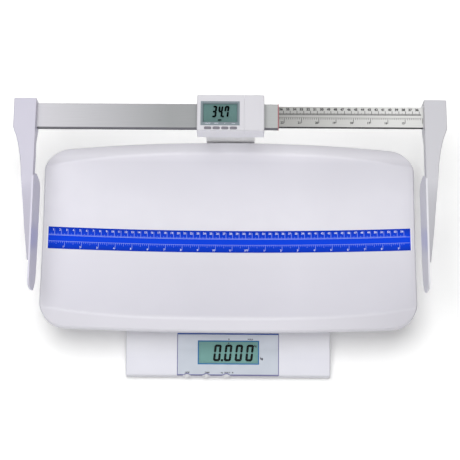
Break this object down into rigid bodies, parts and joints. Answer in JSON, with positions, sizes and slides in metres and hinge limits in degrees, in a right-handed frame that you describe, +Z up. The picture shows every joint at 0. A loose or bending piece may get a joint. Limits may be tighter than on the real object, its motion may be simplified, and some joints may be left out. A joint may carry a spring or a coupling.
{
  "type": "baby weighing scale with length rod",
  "caption": "Digital baby scale: wide curved tray with a printed length tape on a low base with a sloping console, and behind it a telescoping length rod with a display and two end stops.",
  "frame": {"origin": "on the floor, below the middle of the whole object's box with the rod as stored", "axes": "+Z up, +X to the right as the console is read, -Y towards the person reading it"},
  "size_m": [0.6336, 0.385, 0.1925],
  "materials": {
    "tray_shell": "moulded plastic, fine satin texture",
    "tape_print": "printed self-adhesive film",
    "base_shell": "moulded plastic, satin",
    "pan_shell": "moulded plastic, fine texture",
    "foot_rubber": "moulded rubber",
    "screw_steel": "zinc-plated steel",
    "label_film": "printed polyester film",
    "window_clear": "clear acrylic",
    "lcd_glass": "liquid crystal display",
    "circuit_board": "solder mask",
    "cell_aluminium": "milled",
    "plate_steel": "galvanised sheet",
    "bracket_paint": "powder coat, fine",
    "battery_wrap": "plain film wrap",
    "contact_metal": "nickel-plated spring steel",
    "socket_plastic": "black plastic",
    "rod_aluminium": "brushed and anodised",
    "ruler_face": "brushed and anodised, printed marks",
    "nylon": "turned nylon",
    "index_red": "coloured plastic",
    "arm_shell": "moulded plastic, satin",
    "case_shell": "moulded plastic, satin",
    "bezel_plastic": "moulded plastic",
    "button_white": "moulded plastic",
    "button_grey": "moulded plastic"
  },
  "bodies": {
    "base": {"tray": "tray_shell", "measuring_tape": "tape_print", "base_cover": "base_shell", "base_pan": "pan_shell", "rubber_feet": "foot_rubber", "case_screws": "screw_steel", "console_label": "label_film", "weight_window": "window_clear", "weight_display": "lcd_glass", "main_board": "circuit_board", "button_board": "circuit_board", "load_cell": "cell_aluminium", "cell_base_spacer": "plate_steel", "cell_top_spacer": "plate_steel", "load_cell_bolts": "screw_steel", "load_plate": "plate_steel", "tray_rails": "plate_steel", "tray_screws": "screw_steel", "battery_box": "pan_shell", "aa_cells": "battery_wrap", "battery_contacts": "contact_metal", "power_inlet": "socket_plastic", "rear_bracket": "bracket_paint", "bracket_screws": "screw_steel", "bracket_nut_plate": "plate_steel", "outer_tube": "rod_aluminium", "tube_guide": "nylon", "index_ring": "index_red", "length_case_base": "case_shell", "length_case_top": "case_shell", "length_case_screws": "screw_steel", "rod_screws": "screw_steel", "length_chassis": "pan_shell", "length_board": "circuit_board", "length_sensor": "socket_plastic", "length_display": "lcd_glass", "length_window": "window_clear", "length_bezel": "bezel_plastic", "coin_holder": "socket_plastic", "coin_cell": "contact_metal", "left_arm": "arm_shell", "left_paddle": "arm_shell", "left_arm_screws": "screw_steel"},
    "ruler": {"ruler": "ruler_face", "ruler_shoe": "nylon", "right_arm": "arm_shell", "right_paddle": "arm_shell", "right_arm_screws": "screw_steel"},
    "console_button_left": {"console_button_left": "button_white"},
    "console_button_middle": {"console_button_middle": "button_white"},
    "console_button_right": {"console_button_right": "button_white"},
    "battery_door": {"battery_door": "pan_shell"},
    "length_battery_cover": {"length_battery_cover": "case_shell"},
    "length_button_1": {"length_button_1": "button_grey"},
    "length_button_2": {"length_button_2": "button_grey"},
    "length_button_3": {"length_button_3": "button_grey"},
    "length_button_4": {"length_button_4": "button_grey"}
  },
  "joints": [
    {"name": "ruler_slide", "type": "slide", "parent": "base", "child": "ruler", "axis": [1, 0, 0], "range_m": [-0.211, 0.065]},
    {"name": "console_button_left_press", "type": "slide", "parent": "base", "child": "console_button_left", "axis": [0, 1, 0], "range_m": [0, 0.001], "stiffness_N_per_m": 400, "springref_m": -0.001},
    {"name": "console_button_middle_press", "type": "slide", "parent": "base", "child": "console_button_middle", "axis": [0, 1, 0], "range_m": [0, 0.001], "stiffness_N_per_m": 400, "springref_m": -0.001},
    {"name": "console_button_right_press", "type": "slide", "parent": "base", "child": "console_button_right", "axis": [0, 1, 0], "range_m": [0, 0.001], "stiffness_N_per_m": 400, "springref_m": -0.001},
    {"name": "length_button_1_press", "type": "slide", "parent": "base", "child": "length_button_1", "axis": [0, 0, -1], "range_m": [0, 0.0008], "stiffness_N_per_m": 400, "springref_m": -0.001},
    {"name": "length_button_2_press", "type": "slide", "parent": "base", "child": "length_button_2", "axis": [0, 0, -1], "range_m": [0, 0.0008], "stiffness_N_per_m": 400, "springref_m": -0.001},
    {"name": "length_button_3_press", "type": "slide", "parent": "base", "child": "length_button_3", "axis": [0, 0, -1], "range_m": [0, 0.0008], "stiffness_N_per_m": 400, "springref_m": -0.001},
    {"name": "length_button_4_press", "type": "slide", "parent": "base", "child": "length_button_4", "axis": [0, 0, -1], "range_m": [0, 0.0008], "stiffness_N_per_m": 400, "springref_m": -0.001},
    {"name": "battery_door_slide", "type": "slide", "parent": "base", "child": "battery_door", "axis": [-1, 0, 0], "range_m": [0, 0.07]},
    {"name": "length_battery_cover_slide", "type": "slide", "parent": "base", "child": "length_battery_cover", "axis": [1, 0, 0], "range_m": [0, 0.032]}
  ]
}
